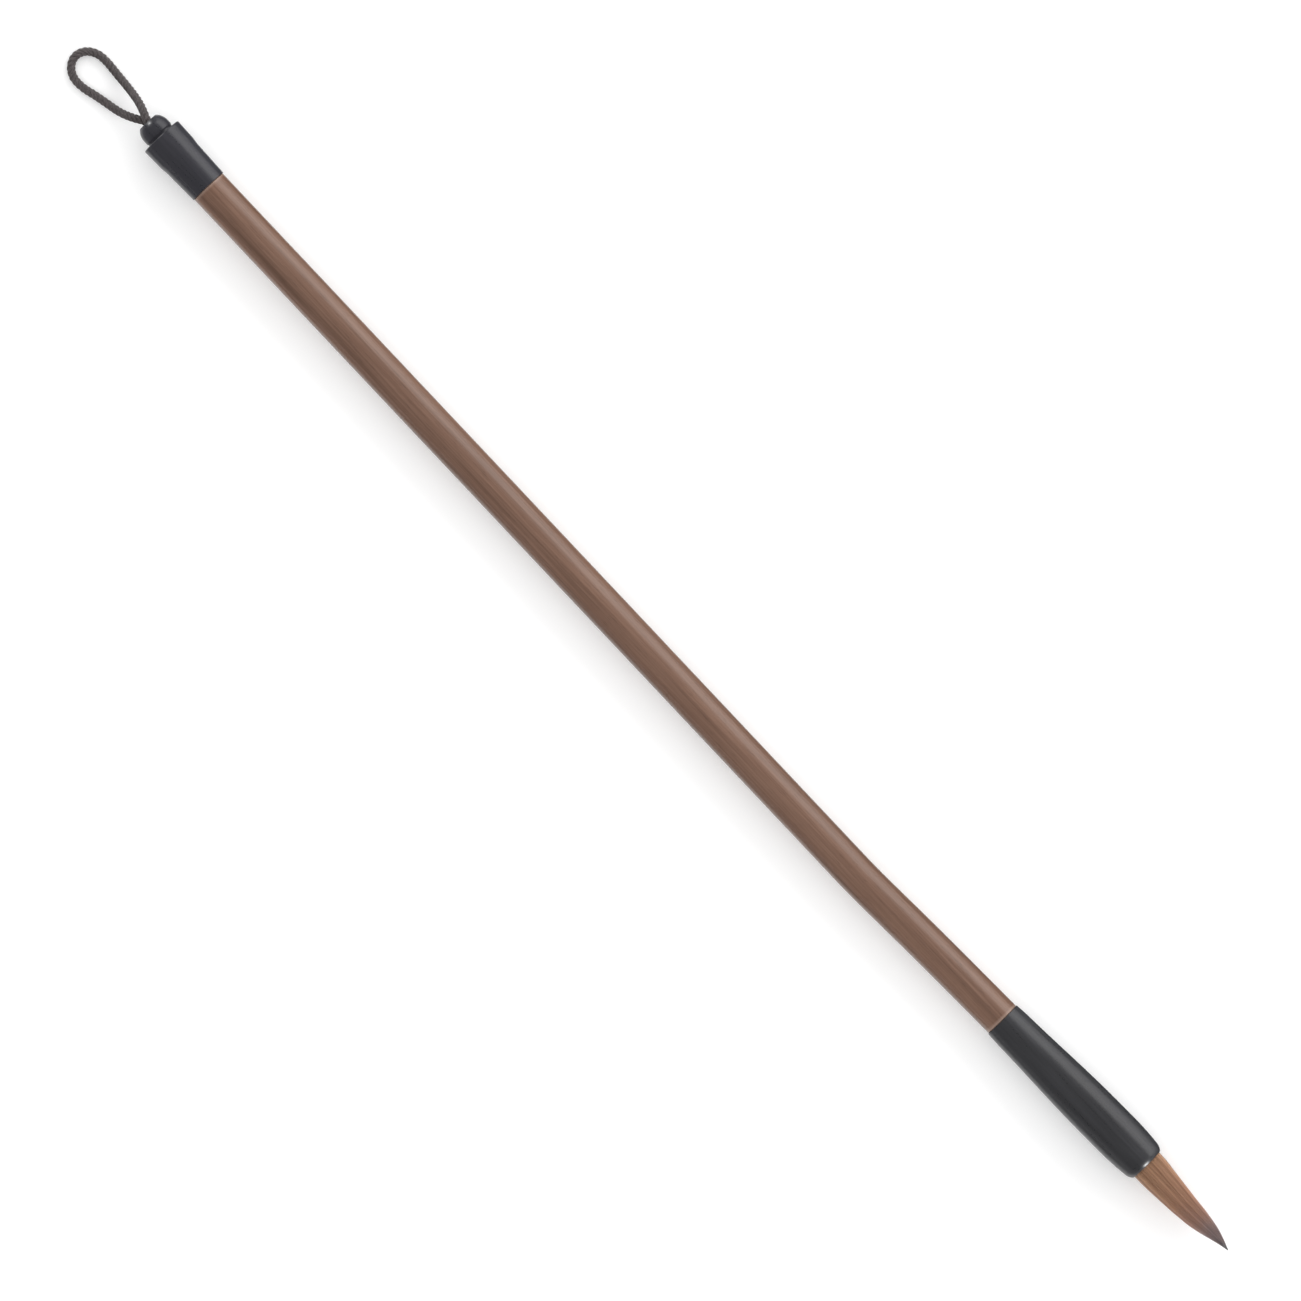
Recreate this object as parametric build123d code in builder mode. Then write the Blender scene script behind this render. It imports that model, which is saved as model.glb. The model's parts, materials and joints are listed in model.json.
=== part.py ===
from build123d import *
import os
from math import pi, radians, sin, sqrt, tan

# A calligraphy brush that lies on a table. +X runs from the cap to the hair tip, +Z is up and the
# table is Z = 0. The handle bends a little sideways near its lower end and then part of the way
# back, so the ferrule and the tuft lie on an axis of their own. All lengths are in millimetres and
# all angles in degrees.

# Lengths along the axis
nub_length = 3.8
sleeve_length = 11.0
handle_length = 183.7  # between the sleeve and the ferrule
ferrule_length = 32.6
tuft_length = 18.9  # hair outside the ferrule

# Handle
handle_radius = 3.1
bore_radius = 1.2
end_chamfer = 0.15
straight_length = 149.1  # from the sleeve to the start of the bend
bend_length = 6.0
bend_angle = 2.3
middle_length = 7.5  # between the bend and the return
return_length = 10.0
return_angle = 0.73

# Tenons, the glue films round them and the sockets
cap_tenon_radius = 2.6
cap_tenon_length = 5.2
ferrule_tenon_radius = 2.55
ferrule_tenon_length = 9.0
glue_thickness = 0.1
socket_end_gap = 0.2

# End cap
nub_radius = 2.57
neck_radius = 2.45
neck_length = 0.3
neck_relief = 0.25
shoulder_radius = 3.62
band_length = 3.6
band_end_radius = 3.55
step_length = 1.3
sleeve_radius = 3.4
sleeve_mouth_radius = 3.24
edge_round = 0.2
chamber_length = 4.0

# Cord
cord_diameter = 1.4
cord_hole_radius = 1.45
cord_hole_round = 0.3
strand_offset = 0.72  # of each strand's centre above or below the cap's axis
hinge_depth = 0.5  # of the loop's hinge behind the tip of the nub's dome
hinge_gap = 0.05
knot_radius = 2.3
knot_end_radius = 1.7
knot_length = 3.6
arc_share = 0.45  # of the shorter run, taken up by each corner's arc

# Ferrule
ferrule_start_radius = 3.22
ferrule_quarter = (4.4, 3.41)  # distance along the ferrule, radius
ferrule_half = (11.3, 3.65)
swell_start = 21.4
swell_length = 4.5
swell_radius = 3.9
rim_start = 31.5
rim_radius = 3.57
rim_flat_radius = 3.05
mouth_round = 0.2
middle_bore_radius = 1.9
cup_radius = 2.85
cup_depth = 11.0

# Tuft. Distances are from the ferrule's mouth, outwards.
root_radius = 2.5
root_length = 9.2
root_end = -0.4
flare_start = -3.4
flare_end = -1.9
flare_radius = 2.75
thread_start = 1.4  # from the root's butt end
thread_diameter = 0.2
thread_turns = 8
thread_crest = 0.09  # of each turn above the thread's middle
flex_distance = 1.3  # of the tuft's hinge from the ferrule's mouth
ball_radius = 2.72
ball_clearance = 0.1
belly = (7.1, 2.27)
shoulder = (12.0, 1.77)
point_start = (15.4, 1.08)
tip_radius = 0.06
core_base_radius = 1.1
lining_base_radius = 2.0
lining_end = (9.0, 1.25)
core_middle_radius = 0.9
core_end = (15.0, 0.15)

# Derived sizes
cord_radius = cord_diameter / 2
total_length = nub_length + sleeve_length + handle_length + ferrule_length + tuft_length
cap_length = nub_length + sleeve_length
chamber_end = cap_length - cap_tenon_length
web = chamber_end - chamber_length
cap_socket_radius = cap_tenon_radius + glue_thickness
ferrule_socket_radius = ferrule_tenon_radius + glue_thickness
mouth = ferrule_length
root_start = mouth + root_end - root_length
thread_band = thread_start + thread_turns * thread_diameter
hinge_station = mouth + flex_distance

# Places. The box of the whole brush is centred on the origin, so the straight axis lies to one side.
lower_length = handle_length - straight_length - bend_length - middle_length - return_length
bend_to_return = bend_length / 2 + middle_length + return_length / 2
return_to_swell = return_length / 2 + lower_length + swell_start + swell_length
swell_drift = bend_to_return * sin(radians(bend_angle))
swell_drift += return_to_swell * sin(radians(bend_angle - return_angle))
axis_y = -(swell_drift + swell_radius - shoulder_radius) / 2
axis_z = swell_radius
nub_x = -total_length / 2
hinge_x = nub_x + hinge_depth


def upper(distance, side=0.0, height=0.0):
    """A point at a distance behind the nub's tip, beside or above the straight axis."""
    return Vector(nub_x + distance, axis_y + side, axis_z + height)


upper_direction = Vector(1, 0, 0)
upper_profile = Plane(origin=upper(0), x_dir=upper_direction, z_dir=(0, -1, 0))
upper_axis = Axis(upper(0), upper_direction)

# The handle's centreline: straight, a gentle bend, a fainter bend back, then straight to the ferrule
with BuildLine() as centreline:
    upper_run = Line(upper(cap_length), upper(cap_length + straight_length))
    bend = JernArc(
        start=upper_run @ 1,
        tangent=upper_run % 1,
        radius=bend_length / radians(bend_angle),
        arc_size=bend_angle,
    )
    middle_run = Line(bend @ 1, bend @ 1 + (bend % 1) * middle_length)
    bend_back = JernArc(
        start=middle_run @ 1,
        tangent=middle_run % 1,
        radius=return_length / radians(return_angle),
        arc_size=-return_angle,
    )
    lower_run = Line(bend_back @ 1, bend_back @ 1 + (bend_back % 1) * lower_length)

lower_direction = lower_run % 1
lower_origin = lower_run @ 1
lower_profile = Plane(
    origin=lower_origin, x_dir=lower_direction, z_dir=lower_direction.cross(Vector(0, 0, 1))
)
lower_axis = Axis(lower_origin, lower_direction)
handle_start = Plane(origin=upper(cap_length), z_dir=upper_direction)
handle_end = Plane(origin=lower_origin, z_dir=lower_direction)


def from_mouth(point):
    """A profile point in the ferrule's frame, from its distance outside the mouth and its radius."""
    return (mouth + point[0], point[1])


def ball_point(radius, ball):
    """Where a ball about the tuft's hinge has this radius, on its side towards the ferrule."""
    return (hinge_station - sqrt(ball**2 - radius**2), radius)


def ball_arc(first, last, ball=ball_radius):
    """The arc of the ball's outline between two radii."""
    return ThreePointArc(
        ball_point(first, ball), ball_point((first + last) / 2, ball), ball_point(last, ball)
    )


# Bamboo handle: a tube along the bent centreline, with a turned tenon at each end
with BuildPart() as handle:
    with BuildSketch(handle_start):
        Circle(handle_radius)
    sweep(path=centreline.line)
    chamfer(handle.faces().filter_by(GeomType.PLANE).edges(), end_chamfer)
    with BuildSketch(handle_start):
        Circle(cap_tenon_radius)
    extrude(amount=-cap_tenon_length)
    with BuildSketch(handle_end):
        Circle(ferrule_tenon_radius)
    extrude(amount=ferrule_tenon_length)
    with BuildSketch(handle_start):
        Circle(bore_radius)
    sweep(path=centreline.line, mode=Mode.SUBTRACT)
    with BuildSketch(handle_start):
        Circle(bore_radius)
    extrude(amount=-cap_tenon_length, mode=Mode.SUBTRACT)
    with BuildSketch(handle_end):
        Circle(bore_radius)
    extrude(amount=ferrule_tenon_length, mode=Mode.SUBTRACT)
handle.part.label = "handle"

# End cap: a domed nub with the cord hole, a shoulder with a band, and a sleeve that tapers.
# Inside are the knot's chamber and the socket for the handle's upper tenon.
hole_rim_radius = cord_hole_radius + cord_hole_round
hole_rim = nub_radius - sqrt(nub_radius**2 - hole_rim_radius**2)
with BuildPart() as end_cap:
    with BuildSketch(upper_profile):
        with BuildLine():
            Polyline(
                (hole_rim + cord_hole_round, cord_hole_radius),
                (web, cord_hole_radius),
                (web, cap_socket_radius),
                (cap_length, cap_socket_radius),
                (cap_length, sleeve_mouth_radius),
                (nub_length + band_length + step_length, sleeve_radius),
                (nub_length + band_length, band_end_radius),
                (nub_length, shoulder_radius),
                (nub_length, neck_radius),
                (nub_length - neck_length, neck_radius),
                (nub_length - neck_length - neck_relief, nub_radius),
                (nub_radius, nub_radius),
            )
            RadiusArc((nub_radius, nub_radius), (hole_rim, hole_rim_radius), -nub_radius)
            RadiusArc(
                (hole_rim, hole_rim_radius),
                (hole_rim + cord_hole_round, cord_hole_radius),
                -cord_hole_round,
            )
        make_face()
    revolve(axis=upper_axis)
    widest = end_cap.edges().filter_by(GeomType.CIRCLE).group_by(SortBy.RADIUS)[-1]
    fillet(widest.sort_by(Axis.X)[0], edge_round)
end_cap.part.label = "end_cap"

# Glue film between the upper tenon and the cap
with BuildPart() as cap_glue:
    with BuildSketch(handle_start):
        Circle(cap_socket_radius)
        Circle(cap_tenon_radius, mode=Mode.SUBTRACT)
    extrude(amount=-cap_tenon_length)
cap_glue.part.label = "cap_glue"

# Ferrule: a swelled cup. Inside are the socket for the lower tenon, a bore and the tuft's cup.
with BuildPart() as ferrule:
    with BuildSketch(lower_profile):
        with BuildLine():
            Spline(
                (0, ferrule_start_radius),
                ferrule_quarter,
                ferrule_half,
                (swell_start, swell_radius),
                tangents=((1, 0.1), (1, 0)),
            )
            swell = Line((swell_start, swell_radius), (swell_start + swell_length, swell_radius))
            fall = TangentArc(swell @ 1, (rim_start, rim_radius), tangent=swell % 1)
            TangentArc(fall @ 1, (mouth, rim_flat_radius), tangent=fall % 1)
            RadiusArc((mouth, rim_flat_radius), (mouth - mouth_round, cup_radius), mouth_round)
            Polyline(
                (mouth - mouth_round, cup_radius),
                (mouth - cup_depth, cup_radius),
                (mouth - cup_depth, middle_bore_radius),
                (ferrule_tenon_length + socket_end_gap, middle_bore_radius),
                (ferrule_tenon_length + socket_end_gap, ferrule_socket_radius),
                (0, ferrule_socket_radius),
                (0, ferrule_start_radius),
            )
        make_face()
    revolve(axis=lower_axis)
ferrule.part.label = "ferrule"

# Glue film between the lower tenon and the ferrule
with BuildPart() as ferrule_glue:
    with BuildSketch(handle_end):
        Circle(ferrule_socket_radius)
        Circle(ferrule_tenon_radius, mode=Mode.SUBTRACT)
    extrude(amount=ferrule_tenon_length)
ferrule_glue.part.label = "ferrule_glue"

# Root of the tuft: the bound butt ends of the hairs, with a neck for the thread. Its outer end is
# hollowed so that the free hair can tilt in it.
socket_ball = ball_radius + ball_clearance
socket_rim_radius = sqrt(socket_ball**2 - (flex_distance - root_end) ** 2)
thread_neck_radius = root_radius - thread_diameter
with BuildPart() as tuft_root:
    with BuildSketch(lower_profile):
        with BuildLine():
            Polyline(
                ball_point(0, socket_ball),
                (root_start, 0),
                (root_start, root_radius),
                (root_start + thread_start, root_radius),
                (root_start + thread_start, thread_neck_radius),
                (root_start + thread_band, thread_neck_radius),
                (root_start + thread_band, root_radius),
                from_mouth((flare_start, root_radius)),
                from_mouth((flare_end, flare_radius)),
                from_mouth((root_end, flare_radius)),
                from_mouth((root_end, socket_rim_radius)),
            )
            ball_arc(socket_rim_radius, 0, socket_ball)
        make_face()
    revolve(axis=lower_axis)
tuft_root.part.label = "tuft_root"

# Thread wound round the root, turn against turn
with BuildPart() as binding_thread:
    with BuildSketch(lower_profile):
        with BuildLine():
            first = root_start + thread_start
            last = root_start + thread_band
            middle_radius = thread_neck_radius + thread_diameter / 2
            Polyline(
                (first, middle_radius),
                (first, thread_neck_radius),
                (last, thread_neck_radius),
                (last, middle_radius),
            )
            for turn in range(thread_turns):
                left = first + turn * thread_diameter
                ThreePointArc(
                    (left, middle_radius),
                    (left + thread_diameter / 2, middle_radius + thread_crest),
                    (left + thread_diameter, middle_radius),
                )
        make_face()
    revolve(axis=lower_axis)
binding_thread.part.label = "binding_thread"

# Resin that fixes the root in the ferrule's cup
with BuildPart() as root_resin:
    with BuildSketch(lower_profile):
        with BuildLine():
            Polyline(
                (mouth - cup_depth, 0),
                (mouth - cup_depth, cup_radius),
                from_mouth((flare_start, cup_radius)),
                from_mouth((flare_start, root_radius)),
                (root_start, root_radius),
                (root_start, 0),
                close=True,
            )
        make_face()
    revolve(axis=lower_axis)
root_resin.part.label = "root_resin"

# Core hairs, which carry the point
with BuildPart() as hair_core:
    with BuildSketch(lower_profile):
        with BuildLine():
            ball_arc(0, core_base_radius)
            Polyline(
                ball_point(core_base_radius, ball_radius),
                from_mouth((lining_end[0], core_middle_radius)),
                from_mouth(core_end),
                from_mouth((core_end[0], 0)),
                ball_point(0, ball_radius),
            )
        make_face()
    revolve(axis=lower_axis)
hair_core.part.label = "hair_core"

# Lining hairs, shorter, packed round the core
with BuildPart() as hair_lining:
    with BuildSketch(lower_profile):
        with BuildLine():
            ball_arc(core_base_radius, lining_base_radius)
            Polyline(
                ball_point(lining_base_radius, ball_radius),
                from_mouth(lining_end),
                from_mouth((lining_end[0], core_middle_radius)),
                ball_point(core_base_radius, ball_radius),
            )
        make_face()
    revolve(axis=lower_axis)
hair_lining.part.label = "hair_lining"

# Mantle hairs, the tuft's outer layer, which closes over the core at the tip
with BuildPart() as hair_mantle:
    with BuildSketch(lower_profile):
        with BuildLine():
            ball_arc(lining_base_radius, ball_radius)
            Spline(
                (hinge_station, ball_radius),
                from_mouth(belly),
                from_mouth(shoulder),
                from_mouth(point_start),
                from_mouth((tuft_length, tip_radius)),
            )
            Polyline(
                from_mouth((tuft_length, tip_radius)),
                from_mouth((tuft_length, 0)),
                from_mouth((core_end[0], 0)),
                from_mouth(core_end),
                from_mouth((lining_end[0], core_middle_radius)),
                from_mouth(lining_end),
                ball_point(lining_base_radius, ball_radius),
            )
        make_face()
    revolve(axis=lower_axis)
hair_mantle.part.label = "hair_mantle"

# The cord's loop, from the nub's mouth down to the table and back. Each point is given by its
# distance out from the loop's hinge, its side of the axis and its height above the table.
on_table = 0.72
loop_points = [
    (0.0, 0.0, axis_z + strand_offset),
    (2.0, 0.85, 4.2),
    (3.95, 1.3, 2.8),
    (6.5, 1.53, 1.35),
    (8.9, 1.67, 0.78),
    (11.4, 1.88, on_table),
    (13.45, 1.7, on_table),
    (15.1, 0.6, on_table),
    (15.75, -1.1, on_table),
    (15.1, -2.75, on_table),
    (13.45, -3.85, on_table),
    (11.2, -3.86, on_table),
    (8.8, -3.18, 0.74),
    (6.4, -2.68, 0.85),
    (4.1, -2.2, 1.5),
    (1.9, -1.25, 2.75),
    (0.0, 0.0, axis_z - strand_offset),
]
route = [Vector(hinge_x - out, axis_y + side, height) for out, side, height in loop_points]
runs = [after - before for before, after in zip(route, route[1:])]
turns = [before.get_angle(after) for before, after in zip(runs, runs[1:])]
radii = [
    arc_share * min(before.length, after.length) / tan(radians(turn / 2))
    for before, after, turn in zip(runs, runs[1:], turns)
]
with BuildLine() as loop_path:
    FilletPolyline(*route, radius=radii)
with BuildPart() as hanging_loop:
    with BuildSketch(Plane(origin=loop_path.line @ 0, z_dir=loop_path.line % 0)):
        Circle(cord_radius)
    sweep(path=loop_path.line)
    tube_volume = hanging_loop.part.volume
    with Locations(route[0], route[-1]):
        Sphere(cord_radius)
hanging_loop.part.label = "hanging_loop"

# The cord's two ends inside the cap, one above the other, from the hinge to the knot
tail_start = hinge_depth + cord_radius + hinge_gap
with BuildPart() as cord_tails:
    for height in (strand_offset, -strand_offset):
        with BuildSketch(Plane(origin=upper(tail_start, height=height), z_dir=upper_direction)):
            Circle(cord_radius)
    extrude(amount=web - tail_start)
cord_tails.part.label = "cord_tails"

# Stopper knot, drawn up against the cap's web
with BuildPart() as cord_knot:
    with BuildSketch(upper_profile):
        with BuildLine():
            ThreePointArc(
                (web, knot_end_radius),
                (web + knot_length / 2, knot_radius),
                (web + knot_length, knot_end_radius),
            )
            Polyline(
                (web + knot_length, knot_end_radius),
                (web + knot_length, 0),
                (web, 0),
                (web, knot_end_radius),
            )
        make_face()
    revolve(axis=upper_axis)
cord_knot.part.label = "cord_knot"

pieces = [
    handle,
    end_cap,
    cap_glue,
    ferrule,
    ferrule_glue,
    tuft_root,
    binding_thread,
    root_resin,
    hair_core,
    hair_lining,
    hair_mantle,
    hanging_loop,
    cord_tails,
    cord_knot,
]
os.makedirs("parts", exist_ok=True)
for piece in pieces:
    export_step(piece.part, f"parts/{piece.part.label}.step")

print("cord runs", [round(run.length, 2) for run in runs])
print("cord turns", [round(turn, 1) for turn in turns])
print("cord radii", [round(radius, 2) for radius in radii])
cord_length = loop_path.wire().length
print("cord length", round(cord_length, 2))
print("tube volume", round(tube_volume, 3))
print("section x length", round(pi * cord_radius**2 * cord_length, 3))
print("flex hinge", lower_origin + lower_direction * hinge_station, "along", lower_direction)
print("cap seat", lower_origin + lower_direction * (swell_start + swell_length / 2))
print("loop hinge", Vector(hinge_x, axis_y, axis_z))
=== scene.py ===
import json
import math
import random

import bpy
import numpy as np
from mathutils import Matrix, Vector, noise


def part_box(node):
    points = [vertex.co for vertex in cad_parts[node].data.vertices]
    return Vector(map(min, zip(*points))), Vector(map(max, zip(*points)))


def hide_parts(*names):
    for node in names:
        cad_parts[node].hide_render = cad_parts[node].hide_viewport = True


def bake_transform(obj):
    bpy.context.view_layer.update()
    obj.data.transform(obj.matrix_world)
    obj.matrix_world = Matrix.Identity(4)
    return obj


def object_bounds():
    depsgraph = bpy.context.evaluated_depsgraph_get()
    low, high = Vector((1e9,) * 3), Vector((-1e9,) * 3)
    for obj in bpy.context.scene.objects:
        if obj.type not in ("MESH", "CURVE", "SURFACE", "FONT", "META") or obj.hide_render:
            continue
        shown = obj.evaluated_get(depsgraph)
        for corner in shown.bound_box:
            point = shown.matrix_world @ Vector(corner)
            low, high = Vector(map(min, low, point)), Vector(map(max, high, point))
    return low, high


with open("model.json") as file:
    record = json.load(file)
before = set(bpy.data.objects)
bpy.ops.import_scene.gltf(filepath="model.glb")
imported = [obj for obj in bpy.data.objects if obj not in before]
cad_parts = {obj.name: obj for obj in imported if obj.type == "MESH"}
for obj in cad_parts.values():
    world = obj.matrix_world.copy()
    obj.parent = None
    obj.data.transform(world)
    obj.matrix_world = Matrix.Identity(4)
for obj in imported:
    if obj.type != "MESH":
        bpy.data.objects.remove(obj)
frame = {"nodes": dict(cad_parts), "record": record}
cad_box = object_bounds()
MM = 0.001
record = frame["record"]
hinges = {joint["name"]: Vector(joint["pos_m"]) for joint in record["behaviour"]["joints"]}
mounts = {mount["name"]: mount for mount in record["mounts"]}

# ---------------------------------------------------------------- places read from the frame
loop_hinge = hinges["loop_swing"]
flex_hinge = hinges["tuft_flex"]
AXIS_Y = loop_hinge.y
AXIS_Z = loop_hinge.z
UP = Vector((0, 0, 1))
lower_direction = Vector(mounts["cap_seat"]["axis"]).normalized()
side_direction = UP.cross(lower_direction)
FLEX_DISTANCE = 1.3 * MM  # of the tuft's hinge from the ferrule's mouth
mouth = flex_hinge - lower_direction * FLEX_DISTANCE
TUFT_LENGTH = (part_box("hair_mantle")[1].x - mouth.x) / lower_direction.x
handle_low, handle_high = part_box("end_cap")[1].x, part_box("ferrule")[0].x

# ---------------------------------------------------------------- camera
VIEW_TURN = math.radians(46.71)  # of the brush below the picture's horizontal
FRAME_WIDTH = 0.208
LENS = 400.0
SENSOR = 36.0


def make_camera():
    """A long lens straight above the brush, turned so that the brush runs down to the right."""
    data = bpy.data.cameras.new("camera")
    data.lens = LENS
    data.sensor_width = SENSOR
    camera = bpy.data.objects.new("camera", data)
    low, high = cad_box
    centre = (low + high) / 2
    height = FRAME_WIDTH / 2 * LENS / (SENSOR / 2)
    camera.location = (centre.x, centre.y, height)
    camera.rotation_euler = (0, 0, VIEW_TURN)
    data.clip_start = 0.01
    data.clip_end = 50
    bpy.context.scene.collection.objects.link(camera)
    bpy.context.scene.camera = camera


make_camera()

# ---------------------------------------------------------------- mesh helpers


def new_object(name, vertices, faces, smooth=True):
    """A linked mesh object from plain lists."""
    mesh = bpy.data.meshes.new(name)
    mesh.from_pydata([tuple(v) for v in vertices], [], faces)
    mesh.update()
    if smooth:
        mesh.polygons.foreach_set("use_smooth", [True] * len(mesh.polygons))
    obj = bpy.data.objects.new(name, mesh)
    bpy.context.scene.collection.objects.link(obj)
    return obj


def keep_rest_places(obj):
    """Keeps each point's place at rest in the mesh attribute "rest", which a bend doesn't change."""
    places = [value for vertex in obj.data.vertices for value in vertex.co]
    obj.data.attributes.new("rest", "FLOAT_VECTOR", "POINT").data.foreach_set("vector", places)


def distances_along(line):
    """The distance of each point from the line's start, along the line."""
    return np.concatenate([[0], np.cumsum(np.linalg.norm(np.diff(line, axis=0), axis=1))])


def normals_along(points):
    """Two normals at each point, turned as little as possible along the line."""
    points = np.asarray(points)
    tangents = np.gradient(points, axis=0)
    tangents /= np.linalg.norm(tangents, axis=1)[:, None]
    normal = np.cross(tangents[0], (0.0, 1.0, 0.0))
    normals = []
    for tangent in tangents:
        normal = normal - tangent * normal.dot(tangent)
        normal = normal / np.linalg.norm(normal)
        normals.append(normal)
    normals = np.array(normals)
    return normals, np.cross(tangents, normals)


def tubes(name, lines, radii, sides, tones=None):
    """One mesh of closed tubes. lines is a list of point arrays, radii a list of arrays.
    The UV map holds the turn round each tube and the distance along it in metres.
    tones gives each tube a number of its own, kept in the mesh attribute "tone"."""
    vertices, faces, uvs = [], [], []
    for line, radius in zip(lines, radii):
        line = np.asarray(line)
        first, second = normals_along(line)
        distance = distances_along(line)
        base = len(vertices)
        for i in range(len(line)):
            for j in range(sides):
                angle = 2 * math.pi * j / sides
                offset = first[i] * math.cos(angle) + second[i] * math.sin(angle)
                vertices.append(line[i] + offset * radius[i])
        for i in range(len(line) - 1):
            for j in range(sides):
                k = (j + 1) % sides
                a = base + i * sides
                b = a + sides
                faces.append((a + j, a + k, b + k, b + j))
                uvs.append(
                    (
                        (j / sides, distance[i]),
                        ((j + 1) / sides, distance[i]),
                        ((j + 1) / sides, distance[i + 1]),
                        (j / sides, distance[i + 1]),
                    )
                )
        faces.append(tuple(base + j for j in reversed(range(sides))))
        uvs.append(((0, 0),) * sides)
        end = base + (len(line) - 1) * sides
        faces.append(tuple(end + j for j in range(sides)))
        uvs.append(((0, distance[-1]),) * sides)
    obj = new_object(name, vertices, faces)
    layer = obj.data.uv_layers.new(name="along")
    flat = [value for face in uvs for corner in face for value in corner]
    layer.data.foreach_set("uv", flat)
    if tones is not None:
        attribute = obj.data.attributes.new("tone", "FLOAT", "POINT")
        values = [tone for tone, line in zip(tones, lines) for _ in range(len(line) * sides)]
        attribute.data.foreach_set("value", values)
    keep_rest_places(obj)
    return obj


# ---------------------------------------------------------------- cord
STRAND_OFFSET = 0.72 * MM
ON_TABLE = 0.72  # height of the cord's middle where it lies on the table, in millimetres
CURVE_RESOLUTION = 16
KNOT_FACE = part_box("cord_knot")[0].x
axis_mm = AXIS_Z / MM
strand_mm = STRAND_OFFSET / MM
# distance out from the loop's hinge, side of the axis, height above the table, in millimetres
loop_points = [
    (0.0, 0.0, axis_mm + strand_mm),
    (2.0, 0.85, 4.2),
    (3.95, 1.3, 2.8),
    (6.5, 1.53, 1.35),
    (8.9, 1.67, 0.78),
    (11.4, 1.88, ON_TABLE),
    (13.45, 1.7, ON_TABLE),
    (15.1, 0.6, ON_TABLE),
    (15.75, -1.1, ON_TABLE),
    (15.1, -2.75, ON_TABLE),
    (13.45, -3.85, ON_TABLE),
    (11.2, -3.86, ON_TABLE),
    (8.8, -3.18, 0.74),
    (6.4, -2.68, 0.85),
    (4.1, -2.2, 1.5),
    (1.9, -1.25, 2.75),
    (0.0, 0.0, axis_mm - strand_mm),
]


def cord_route():
    """The cord's control points: from the knot through the cap's hole, round the loop and back."""
    depth = (loop_hinge.x - KNOT_FACE) / MM
    inside = [depth * share for share in (1.0, 0.66, 0.33)]
    upper = [(out, 0.0, axis_mm + strand_mm) for out in inside]
    lower = [(out, 0.0, axis_mm - strand_mm) for out in reversed(inside)]
    points = upper + loop_points + lower
    return [
        Vector((loop_hinge.x - out * MM, AXIS_Y + side * MM, height * MM))
        for out, side, height in points
    ]


def nurbs_line(points):
    """Points along a NURBS curve of order 3 that has these control points."""
    curve = bpy.data.curves.new("cord_line", "CURVE")
    curve.dimensions = "3D"
    curve.resolution_u = CURVE_RESOLUTION
    spline = curve.splines.new("NURBS")
    spline.points.add(len(points) - 1)
    for target, point in zip(spline.points, points):
        target.co = (*point, 1.0)
    spline.order_u = 3
    spline.use_endpoint_u = True
    line = bpy.data.objects.new("cord_line", curve)
    bpy.context.scene.collection.objects.link(line)
    depsgraph = bpy.context.evaluated_depsgraph_get()
    mesh = bpy.data.meshes.new_from_object(line.evaluated_get(depsgraph))
    found = np.array([vertex.co[:] for vertex in mesh.vertices])
    bpy.data.meshes.remove(mesh)
    bpy.data.objects.remove(line)
    bpy.data.curves.remove(curve)
    return found


def even_steps(line, step):
    """The same line with points about one step apart."""
    lengths = distances_along(line)
    count = max(2, int(round(lengths[-1] / step)) + 1)
    wanted = np.linspace(0, lengths[-1], count)
    columns = [np.interp(wanted, lengths, line[:, k]) for k in range(3)]
    return np.stack(columns, axis=1), lengths[-1]


PLIES = 4
PLY_SIDES = 12
PLY_PITCH = 3.1 * MM  # along the cord, for one whole turn
PLY_RADIUS = 0.315 * MM
PLY_OFFSET = 0.385 * MM  # of each ply's middle from the cord's middle
CORD_STEP = 0.11 * MM


def make_cord():
    """Plies twisted round the cord's line."""
    line, length = even_steps(nurbs_line(cord_route()), CORD_STEP)
    first, second = normals_along(line)
    along = np.linspace(0, length, len(line))
    plies = []
    for ply in range(PLIES):
        angle = 2 * math.pi * (ply / PLIES + along / PLY_PITCH)
        offset = first * np.cos(angle)[:, None] + second * np.sin(angle)[:, None]
        plies.append(line + offset * PLY_OFFSET)
    radius = np.full(len(line), PLY_RADIUS)
    cord = tubes("hanging_cord", plies, [radius] * PLIES, PLY_SIDES)
    return cord, line, length


cord, cord_line, cord_length = make_cord()

# ---------------------------------------------------------------- tuft of hair
# distance from the ferrule's mouth, radius, lean towards +Y, in millimetres
TUFT_PROFILE = (
    (0.0, 2.72, 0.03),
    (1.6, 2.71, -0.02),
    (3.6, 2.56, -0.12),
    (5.6, 2.38, -0.19),
    (7.6, 2.22, -0.26),
    (9.6, 2.01, -0.30),
    (11.6, 1.81, -0.30),
    (13.6, 1.46, -0.25),
    (15.6, 1.0, -0.20),
    (17.0, 0.6, -0.25),
    (18.2, 0.24, -0.36),
    (18.9, 0.04, -0.45),
)
profile_columns = [np.array(column) * MM for column in zip(*TUFT_PROFILE)]
profile_places, profile_radii, profile_leans = profile_columns


def smooth_curve(places, values, place):
    """A smooth curve through the values, level beyond the first and the last of them."""
    if place <= places[0]:
        return float(values[0])
    if place >= places[-1]:
        return float(values[-1])
    slopes = np.gradient(values, places)
    i = int(np.searchsorted(places, place)) - 1
    step = places[i + 1] - places[i]
    t = (place - places[i]) / step
    start = (1 + 2 * t) * (1 - t) ** 2 * values[i] + t * (1 - t) ** 2 * step * slopes[i]
    end = t**2 * (3 - 2 * t) * values[i + 1] + t**2 * (t - 1) * step * slopes[i + 1]
    return float(start + end)


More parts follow.
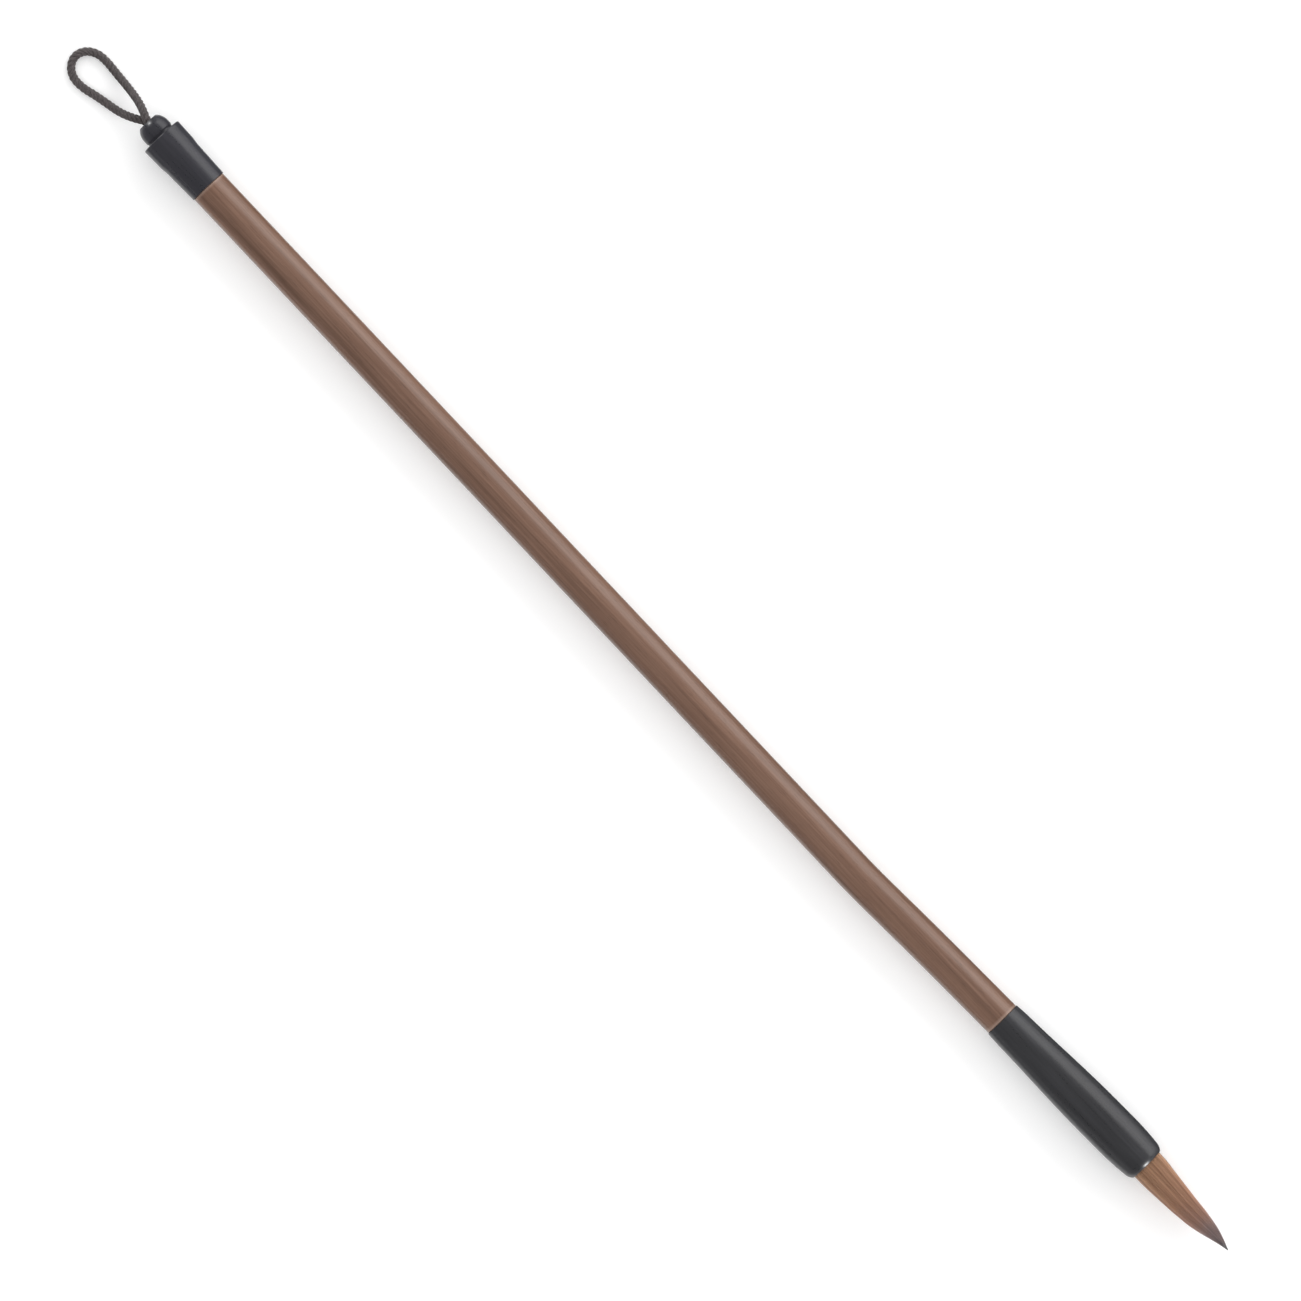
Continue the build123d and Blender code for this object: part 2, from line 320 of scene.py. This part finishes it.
def smooth_step(low, high, value):
    """0 below low, 1 above high and a smooth rise between them."""
    run = min(1.0, max(0.0, (value - low) / (high - low)))
    return run * run * (3 - 2 * run)


def tuft_radius(distance):
    """The tuft's outer radius at a distance from the mouth, in metres."""
    return smooth_curve(profile_places, profile_radii, distance)


def tuft_point(distance, radius, angle):
    """A point in the tuft, with its slight lean to one side. Angle 0 is the +Y side."""
    lean = smooth_curve(profile_places, profile_leans, distance)
    centre = mouth + lower_direction * distance
    offset = side_direction * (radius * math.cos(angle) + lean) + UP * (radius * math.sin(angle))
    return centre + offset


HAIR_SEGMENTS = 16
HAIR_SIDES = 3
HAIR_START = -1.0 * MM  # inside the ferrule
GOLDEN_TURN = 0.618034  # spreads the hairs evenly round the tuft
CLUMP_FREQUENCY = 3.5  # of the noise that moves wide groups of hairs
LOCK_FREQUENCY = 8  # of the noise that gathers hairs in narrow locks
CLUMP_SWAY = 0.25  # how far a group drifts round the tuft by its end, in radians
HAIR_WAVE = 0.012  # of each hair, in radians round the tuft
CLUMP_LIFT = 0.04  # how far a group stands out, as a share of the tuft's radius
LOCK_LIFT = 0.05  # how far a lock stands out, as a share of the tuft's radius
HAIR_TAPER = 0.75  # how much of its thickness a hair loses by its end
LOCK_TONE = 0.9  # how much lighter or darker a lock is
HAIR_TONE = 0.22  # how much lighter or darker a hair is than its lock
PACKED_REACH = 0.985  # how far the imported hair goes, as a share of the tuft's length
PACKED_RADIUS = 0.925  # as a share of the tuft's radius
GROOVE_DEPTH = 0.04  # as a share of the tuft's radius
GROOVE_FREQUENCY = 12  # of the grooves' noise round the tuft


def noise_round(angle, frequency, seed):
    """Noise round the tuft, nearly the same for hairs that lie close together."""
    return noise.noise(Vector((math.cos(angle) * frequency, math.sin(angle) * frequency, seed)))


def make_hairs(name, count, places, ends, thickness, seed, spread):
    """Hairs that run from inside the ferrule towards the point, gathered in locks. places bounds
    each hair's place between the tuft's middle (0) and its surface (1), ends bounds the distance
    where it stops, and spread is how far it drifts round the tuft."""
    generator = random.Random(seed)
    lines, radii, tones = [], [], []
    for index in range(count):
        place = math.sqrt(generator.uniform(places[0] ** 2, places[1] ** 2))
        angle = 2 * math.pi * (index * GOLDEN_TURN + generator.uniform(-0.2, 0.2) / count)
        end = ends[0] + (ends[1] - ends[0]) * math.sqrt(generator.random())
        drift = generator.gauss(0, spread)
        wave = generator.uniform(0, 2 * math.pi)
        clump = noise_round(angle, CLUMP_FREQUENCY, seed)
        lock = noise_round(angle, LOCK_FREQUENCY, seed + 5)
        line, radius = [], []
        for step in range(HAIR_SEGMENTS + 1):
            run = step / HAIR_SEGMENTS
            distance = HAIR_START + (end - HAIR_START) * run
            sway = CLUMP_SWAY * clump * run + HAIR_WAVE * math.sin(wave + 5 * run)
            around = angle + drift * run + sway
            lift = 1 + (CLUMP_LIFT * clump + LOCK_LIFT * lock) * smooth_step(0.05, 0.8, run)
            out = tuft_radius(distance) * place * lift
            line.append(tuple(tuft_point(distance, out, around)))
            radius.append(thickness * (1 - HAIR_TAPER * run**2.5))
        lines.append(line)
        radii.append(radius)
        tone = 0.5 + LOCK_TONE * lock + generator.gauss(0, HAIR_TONE)
        tones.append(min(1.0, max(0.0, tone)))
    return tubes(name, lines, radii, HAIR_SIDES, tones=tones)


def make_packed_hair():
    """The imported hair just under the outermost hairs, with grooves along it."""
    rings, sides = 60, 144
    end = profile_places[-1] * PACKED_REACH
    vertices, faces = [], []
    for i in range(rings + 1):
        distance = HAIR_START + (end - HAIR_START) * i / rings
        for j in range(sides):
            angle = 2 * math.pi * j / sides
            across = Vector((math.cos(angle), math.sin(angle), 0)) * GROOVE_FREQUENCY
            groove = noise.noise(across + UP * (distance / MM * 0.05))
            out = tuft_radius(distance) * (PACKED_RADIUS + GROOVE_DEPTH * groove)
            vertices.append(tuft_point(distance, out, angle))
    for i in range(rings):
        for j in range(sides):
            k = (j + 1) % sides
            here, beyond = i * sides, (i + 1) * sides
            faces.append((here + j, beyond + j, beyond + k, here + k))
    faces.append(tuple(range(sides)))
    faces.append(tuple(rings * sides + j for j in reversed(range(sides))))
    obj = new_object("packed_hair", vertices, faces)
    keep_rest_places(obj)
    return obj


mantle = make_hairs(
    "mantle_hairs",
    count=1800,
    places=(0.95, 1.0),
    ends=(15.0 * MM, 18.9 * MM),
    thickness=0.048 * MM,
    seed=11,
    spread=0.06,
)
lining = make_hairs(
    "lining_hairs",
    count=420,
    places=(0.42, 0.86),
    ends=(8.0 * MM, 10.5 * MM),
    thickness=0.05 * MM,
    seed=23,
    spread=0.06,
)
core = make_hairs(
    "core_hairs",
    count=240,
    places=(0.0, 0.4),
    ends=(12.5 * MM, 16.0 * MM),
    thickness=0.055 * MM,
    seed=37,
    spread=0.06,
)
packed = make_packed_hair()

# ---------------------------------------------------------------- materials


def new_material(name):
    """A material with a plain shader, its node tree and the shader."""
    material = bpy.data.materials.new(name)
    material.use_nodes = True
    tree = material.node_tree
    tree.nodes.clear()
    output = tree.nodes.new("ShaderNodeOutputMaterial")
    shader = tree.nodes.new("ShaderNodeBsdfPrincipled")
    tree.links.new(shader.outputs["BSDF"], output.inputs["Surface"])
    return material, tree, shader


def feed(tree, socket, value):
    """Links the socket to another, or sets it to a plain value."""
    if isinstance(value, bpy.types.NodeSocket):
        tree.links.new(value, socket)
    else:
        socket.default_value = value


def node(tree, kind, inputs, **properties):
    """A node of this kind. inputs gives values or links by the socket's name or number."""
    made = tree.nodes.new("ShaderNode" + kind)
    for key, value in properties.items():
        setattr(made, key, value)
    for key, value in inputs.items():
        feed(tree, made.inputs[key], value)
    return made


def calculate(tree, operation, *values):
    """The result of a math node on these values."""
    return node(tree, "Math", dict(enumerate(values)), operation=operation).outputs[0]


def rescale(tree, value, old_range, new_range):
    """The value carried from one range to another, and held inside it."""
    inputs = {
        "Value": value,
        "From Min": old_range[0],
        "From Max": old_range[1],
        "To Min": new_range[0],
        "To Max": new_range[1],
    }
    return node(tree, "MapRange", inputs).outputs[0]


def stretched(tree, place, scale):
    """The place scaled by its own number along each axis."""
    return node(tree, "Mapping", {"Vector": place, "Scale": scale}).outputs[0]


def grain(tree, place, detail, scale=1.0, roughness=0.5):
    """Noise between 0 and 1."""
    inputs = {"Vector": place, "Scale": scale, "Detail": detail, "Roughness": roughness}
    return node(tree, "TexNoise", inputs).outputs[0]


def ramp(tree, factor, stops):
    """The colour of a ramp at this factor, from (place, colour) stops."""
    made = node(tree, "ValToRGB", {"Fac": factor})
    elements = made.color_ramp.elements
    while len(elements) < len(stops):
        elements.new(0.5)
    for element, (place, colour) in zip(elements, stops):
        element.position = place
        element.color = (*colour, 1)
    return made.outputs[0]


# the mix node's own numbers for its two colours and its result
MIX_FIRST, MIX_SECOND, MIX_RESULT = 6, 7, 2


def mix(tree, factor, first, second):
    """A colour between first and second. Each is a socket or a colour."""
    made = node(tree, "Mix", {"Factor": factor}, data_type="RGBA")
    for number, value in ((MIX_FIRST, first), (MIX_SECOND, second)):
        feed(tree, made.inputs[number], (*value, 1) if isinstance(value, tuple) else value)
    return made.outputs[MIX_RESULT]


def set_bump(tree, shader, height, strength, distance):
    """Gives the shader relief. distance is how deep it goes, in metres."""
    made = node(tree, "Bump", {"Height": height, "Strength": strength, "Distance": distance})
    tree.links.new(made.outputs[0], shader.inputs["Normal"])


def place_at_rest(tree, bends):
    """Each point's place at rest. A piece that bends has it in its mesh, and others don't need that."""
    if bends:
        return node(tree, "Attribute", {}, attribute_name="rest").outputs["Vector"]
    return node(tree, "TexCoord", {}).outputs["Object"]


def srgb(red, green, blue):
    """A linear colour from 8-bit sRGB values."""
    channels = (red / 255, green / 255, blue / 255)
    return tuple(((c + 0.055) / 1.055) ** 2.4 if c > 0.04 else c / 12.92 for c in channels)


BAMBOO_DARK = srgb(96, 68, 52)
BAMBOO_MIDDLE = srgb(113, 82, 65)
BAMBOO_LIGHT = srgb(125, 93, 75)
BARE_BAMBOO = srgb(166, 143, 130)
PORE = srgb(66, 47, 38)
CAP_DARK = srgb(48, 48, 53)
CAP_LIGHT = srgb(55, 54, 60)
FERRULE_DARK = srgb(48, 48, 50)
FERRULE_LIGHT = srgb(56, 56, 59)
CORD_DARK = srgb(52, 46, 46)
CORD_LIGHT = srgb(88, 80, 80)
GLUE_DARK = srgb(176, 150, 118)
GLUE_LIGHT = srgb(205, 182, 150)
RESIN_DARK = srgb(120, 82, 40)
RESIN_LIGHT = srgb(158, 112, 58)
THREAD_DARK = srgb(190, 182, 166)
THREAD_LIGHT = srgb(226, 220, 206)
# share of the way to the tuft's point, and the colour there
HAIR_LIGHT = [
    (0.0, srgb(192, 150, 117)),
    (0.44, srgb(186, 141, 113)),
    (0.63, srgb(176, 135, 117)),
    (0.74, srgb(166, 138, 130)),
    (0.84, srgb(146, 124, 122)),
    (0.92, srgb(108, 93, 93)),
    (1.0, srgb(60, 52, 54)),
]
HAIR_DARK = [
    (0.0, srgb(126, 87, 62)),
    (0.44, srgb(120, 81, 61)),
    (0.63, srgb(112, 80, 68)),
    (0.74, srgb(108, 84, 78)),
    (0.84, srgb(90, 73, 71)),
    (0.92, srgb(60, 50, 50)),
    (1.0, srgb(34, 30, 31)),
]
DARKENING_START = 2.2 * MM  # from the ferrule's mouth
DARKENING_SHIFT = 4.5 * MM  # how much sooner or later a lock darkens
BARE_RING = (0.15 * MM, 0.6 * MM)  # from the cap or the ferrule: where it starts to fade and ends
BARE_SHARE = 0.45  # how much of the bare bamboo shows there
# The scales of grain below are per metre: along the brush, and across it twice.


def bare_ends(tree, place):
    """How much of the bare bamboo shows: none but in a ring at each end of the handle."""
    along = node(tree, "SeparateXYZ", {"Vector": place}).outputs["X"]
    ends = []
    for end, inwards in ((handle_low, 1.0), (handle_high, -1.0)):
        gap = calculate(tree, "SUBTRACT", along, end)
        depth = calculate(tree, "MULTIPLY", gap, inwards)
        ends.append(rescale(tree, depth, BARE_RING, (BARE_SHARE, 0.0)))
    return calculate(tree, "MAXIMUM", *ends)


def bamboo_material():
    """Brown stained bamboo: fine lengthwise fibres, short dark pores, a thin varnish, and a paler
    ring of bare bamboo at each end of the handle."""
    material, tree, shader = new_material("bamboo")
    place = place_at_rest(tree, False)
    fibre = grain(tree, stretched(tree, place, (70, 3600, 3600)), 4.0, roughness=0.6)
    band = grain(tree, stretched(tree, place, (9, 500, 500)), 2.0)
    half_band = calculate(tree, "MULTIPLY", band, 0.5)
    total = calculate(tree, "MULTIPLY_ADD", fibre, 0.5, half_band)
    stops = [(0.36, BAMBOO_DARK), (0.5, BAMBOO_MIDDLE), (0.64, BAMBOO_LIGHT)]
    stain = ramp(tree, total, stops)
    pore = grain(tree, stretched(tree, place, (420, 9000, 9000)), 1.0)
    pores = rescale(tree, pore, (0.64, 0.76), (0.0, 0.5))
    pored = mix(tree, pores, stain, PORE)
    colour = mix(tree, bare_ends(tree, place), pored, BARE_BAMBOO)
    tree.links.new(colour, shader.inputs["Base Color"])
    rough = rescale(tree, fibre, (0.0, 1.0), (0.36, 0.52))
    tree.links.new(rough, shader.inputs["Roughness"])
    carved = calculate(tree, "SUBTRACT", total, pores)
    set_bump(tree, shader, carved, 0.2, 0.05 * MM)
    shader.inputs["Coat Weight"].default_value = 0.45
    shader.inputs["Coat Roughness"].default_value = 0.22
    return material


def plastic_material(name, dark, light):
    """Black moulded plastic, satin, with faint streaks along the brush."""
    material, tree, shader = new_material(name)
    place = place_at_rest(tree, False)
    streak = grain(tree, stretched(tree, place, (60, 1300, 1300)), 3.0)
    speck = grain(tree, place, 2.0, scale=2600.0)
    tree.links.new(ramp(tree, streak, [(0.3, dark), (0.7, light)]), shader.inputs["Base Color"])
    fine = calculate(tree, "MULTIPLY", speck, 0.35)
    total = calculate(tree, "MULTIPLY_ADD", streak, 0.65, fine)
    rough = rescale(tree, total, (0.3, 0.7), (0.25, 0.38))
    tree.links.new(rough, shader.inputs["Roughness"])
    set_bump(tree, shader, total, 0.06, 0.05 * MM)
    return material


def cord_material(name, bends):
    """Waxed dark cord. Its fibres run slantwise along each ply, and round the knot."""
    material, tree, shader = new_material(name)
    place = place_at_rest(tree, bends)
    if bends:
        uv = node(tree, "TexCoord", {}).outputs["UV"]
        slant = stretched(tree, uv, (9, 1600, 1))
    else:
        slant = stretched(tree, place, (3200, 500, 500))
    fibre = grain(tree, slant, 3.0)
    fluff = grain(tree, place, 2.0, scale=5200.0)
    half_fluff = calculate(tree, "MULTIPLY", fluff, 0.5)
    total = calculate(tree, "MULTIPLY_ADD", fibre, 0.5, half_fluff)
    colour = ramp(tree, total, [(0.38, CORD_DARK), (0.62, CORD_LIGHT)])
    tree.links.new(colour, shader.inputs["Base Color"])
    shader.inputs["Roughness"].default_value = 0.7
    shader.inputs["Sheen Weight"].default_value = 0.1
    set_bump(tree, shader, total, 0.5, 0.04 * MM)
    return material


def hair_material(name, bends, own_tone):
    """Brown hair that darkens towards the point, unevenly. own_tone reads each hair's own tone."""
    material, tree, shader = new_material(name)
    place = place_at_rest(tree, bends)
    along = node(tree, "SeparateXYZ", {"Vector": place}).outputs["X"]
    streak = grain(tree, stretched(tree, place, (110, 5200, 5200)), 3.0)
    lock = grain(tree, stretched(tree, place, (60, 1300, 1300)), 1.0)
    uneven = calculate(tree, "MULTIPLY_ADD", lock, DARKENING_SHIFT, along)
    start = mouth.x + DARKENING_START
    run = rescale(tree, uneven, (start, start + TUFT_LENGTH), (0.0, 1.0))
    light = ramp(tree, run, HAIR_LIGHT)
    dark = ramp(tree, run, HAIR_DARK)
    if own_tone:
        tone = node(tree, "Attribute", {}, attribute_name="tone").outputs["Fac"]
        part = calculate(tree, "MULTIPLY", streak, 0.25)
        share = calculate(tree, "MULTIPLY_ADD", tone, 0.75, part)
    else:
        share = calculate(tree, "MULTIPLY", streak, 0.7)
    tree.links.new(mix(tree, share, dark, light), shader.inputs["Base Color"])
    shader.inputs["Roughness"].default_value = 0.38
    set_bump(tree, shader, streak, 0.35, 0.04 * MM)
    return material


def grainy_material(name, dark, light, roughness, scale):
    """An even material with a fine grain. scale is how fine."""
    material, tree, shader = new_material(name)
    fine = grain(tree, place_at_rest(tree, False), 3.0, scale=scale)
    tree.links.new(ramp(tree, fine, [(0.35, dark), (0.65, light)]), shader.inputs["Base Color"])
    shader.inputs["Roughness"].default_value = roughness
    set_bump(tree, shader, fine, 0.2, 0.05 * MM)
    return material


bamboo = bamboo_material()
cap_plastic = plastic_material("cap_plastic", CAP_DARK, CAP_LIGHT)
ferrule_plastic = plastic_material("ferrule_plastic", FERRULE_DARK, FERRULE_LIGHT)
cord_fibre = cord_material("cord_fibre", bends=True)
knot_fibre = cord_material("knot_fibre", bends=False)
root_hair = hair_material("root_hair", bends=False, own_tone=False)
packed_hair = hair_material("brown_hair", bends=True, own_tone=False)
strand_hair = hair_material("brown_strands", bends=True, own_tone=True)
glue = grainy_material("dried_glue", GLUE_DARK, GLUE_LIGHT, 0.5, 900)
resin = grainy_material("amber_resin", RESIN_DARK, RESIN_LIGHT, 0.25, 400)
thread = grainy_material("white_thread", THREAD_DARK, THREAD_LIGHT, 0.8, 2500)

NODE_MATERIALS = {
    "handle": bamboo,
    "end_cap": cap_plastic,
    "ferrule": ferrule_plastic,
    "cap_glue": glue,
    "ferrule_glue": glue,
    "root_resin": resin,
    "binding_thread": thread,
    "tuft_root": root_hair,
    "cord_knot": knot_fibre,
}
for name, material in NODE_MATERIALS.items():
    slots = frame["nodes"][name].data.materials
    slots.clear()
    slots.append(material)

cord.data.materials.append(cord_fibre)
packed.data.materials.append(packed_hair)
for piece in (mantle, lining, core):
    piece.data.materials.append(strand_hair)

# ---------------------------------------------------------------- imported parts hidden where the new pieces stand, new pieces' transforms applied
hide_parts("hanging_loop", "cord_tails")
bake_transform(cord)
for piece, name in (
    (mantle, "hair_mantle"),
    (packed, "hair_mantle"),
    (lining, "hair_lining"),
    (core, "hair_core"),
):
    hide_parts(name)
    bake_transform(piece)

# ---------------------------------------------------------------- floor and light
CARD_HEIGHT = 0.2 * MM


def flat_sheet(name, low, high, height):
    """A level rectangle between two corners."""
    corners = [(low[0], low[1]), (high[0], low[1]), (high[0], high[1]), (low[0], high[1])]
    vertices = [(*corner, height) for corner in corners]
    return new_object(name, vertices, [(0, 1, 2, 3)], smooth=False)


def make_floor():
    """A pale table top that the render shows as white."""
    reach = 3.0
    floor = flat_sheet("floor", (-reach, -reach), (reach, reach), 0)
    material, _, shader = new_material("pale_floor")
    shader.inputs["Base Color"].default_value = (0.86, 0.86, 0.86, 1)
    shader.inputs["Roughness"].default_value = 0.9
    shader.inputs["Emission Color"].default_value = (1, 1, 1, 1)
    shader.inputs["Emission Strength"].default_value = 0.15
    floor.data.materials.append(material)


def area_light(name, place, size, power, glossy_only=False):
    """A rectangular light that points at the middle of the brush."""
    data = bpy.data.lights.new(name, "AREA")
    data.shape = "RECTANGLE"
    data.size, data.size_y = size
    data.energy = power
    light = bpy.data.objects.new(name, data)
    light.location = place
    light.rotation_euler = (-Vector(place)).to_track_quat("-Z", "Y").to_euler()
    light.visible_diffuse = not glossy_only
    bpy.context.scene.collection.objects.link(light)


def dark_card(name, low, high):
    """A dark card on the table beside the brush, from low to high across it, that only
    reflections show."""
    reach = 0.2
    card = flat_sheet(name, (-reach, low), (reach, high), CARD_HEIGHT)
    material, _, shader = new_material(name)
    shader.inputs["Base Color"].default_value = (0.01, 0.01, 0.01, 1)
    shader.inputs["Roughness"].default_value = 1.0
    card.data.materials.append(material)
    card.visible_camera = False
    card.visible_diffuse = False
    card.visible_shadow = False
    card.visible_transmission = False


def make_world(strength):
    """An even white surround that lights the brush but doesn't show in its reflections."""
    world = bpy.data.worlds.new("studio")
    world.use_nodes = True
    background = world.node_tree.nodes["Background"]
    background.inputs[0].default_value = (1, 1, 1, 1)
    background.inputs[1].default_value = strength
    bpy.context.scene.world = world
    world.cycles_visibility.glossy = False


# places and sizes in metres, powers in watts
make_floor()
dark_card("dark_card_lit_side", 4.5 * MM, 28 * MM)
dark_card("dark_card_far_side", -60 * MM, -13 * MM)
area_light("key", place=(0.0, 0.46, 0.22), size=(1.1, 0.36), power=2.45)
area_light("tip_glint", place=(1.3, 0.02, 0.35), size=(0.25, 0.25), power=16.0, glossy_only=True)
area_light("nub_glint", place=(-1.3, 0.02, 0.35), size=(0.25, 0.25), power=7.0, glossy_only=True)
make_world(strength=1.08)
bpy.context.scene.view_settings.view_transform = "Standard"
